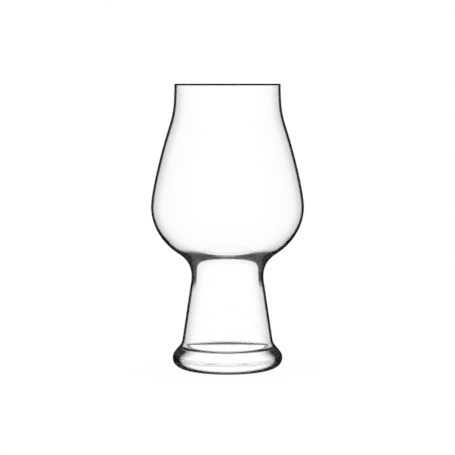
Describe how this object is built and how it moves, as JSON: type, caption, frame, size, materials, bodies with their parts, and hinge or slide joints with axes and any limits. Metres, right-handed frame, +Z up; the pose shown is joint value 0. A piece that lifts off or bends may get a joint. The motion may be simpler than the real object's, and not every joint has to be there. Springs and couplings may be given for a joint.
{
  "type": "stout glass",
  "caption": "Clear stout glass with a tulip bowl that narrows to a straight lip, a hollow flared stem and a thick round foot, for serving dark beer.",
  "frame": {"origin": "centre of the flat ring under the foot, on the table plane", "axes": "+Z up along the axis of the glass, towards the rim; the glass is round, so X and Y are alike"},
  "size_m": [0.094, 0.094, 0.176],
  "materials": {
    "clear_glass": "clear polished soda-lime glass"
  },
  "bodies": {
    "root": {"bowl": "clear_glass", "stem": "clear_glass", "foot": "clear_glass"}
  },
  "joints": []
}
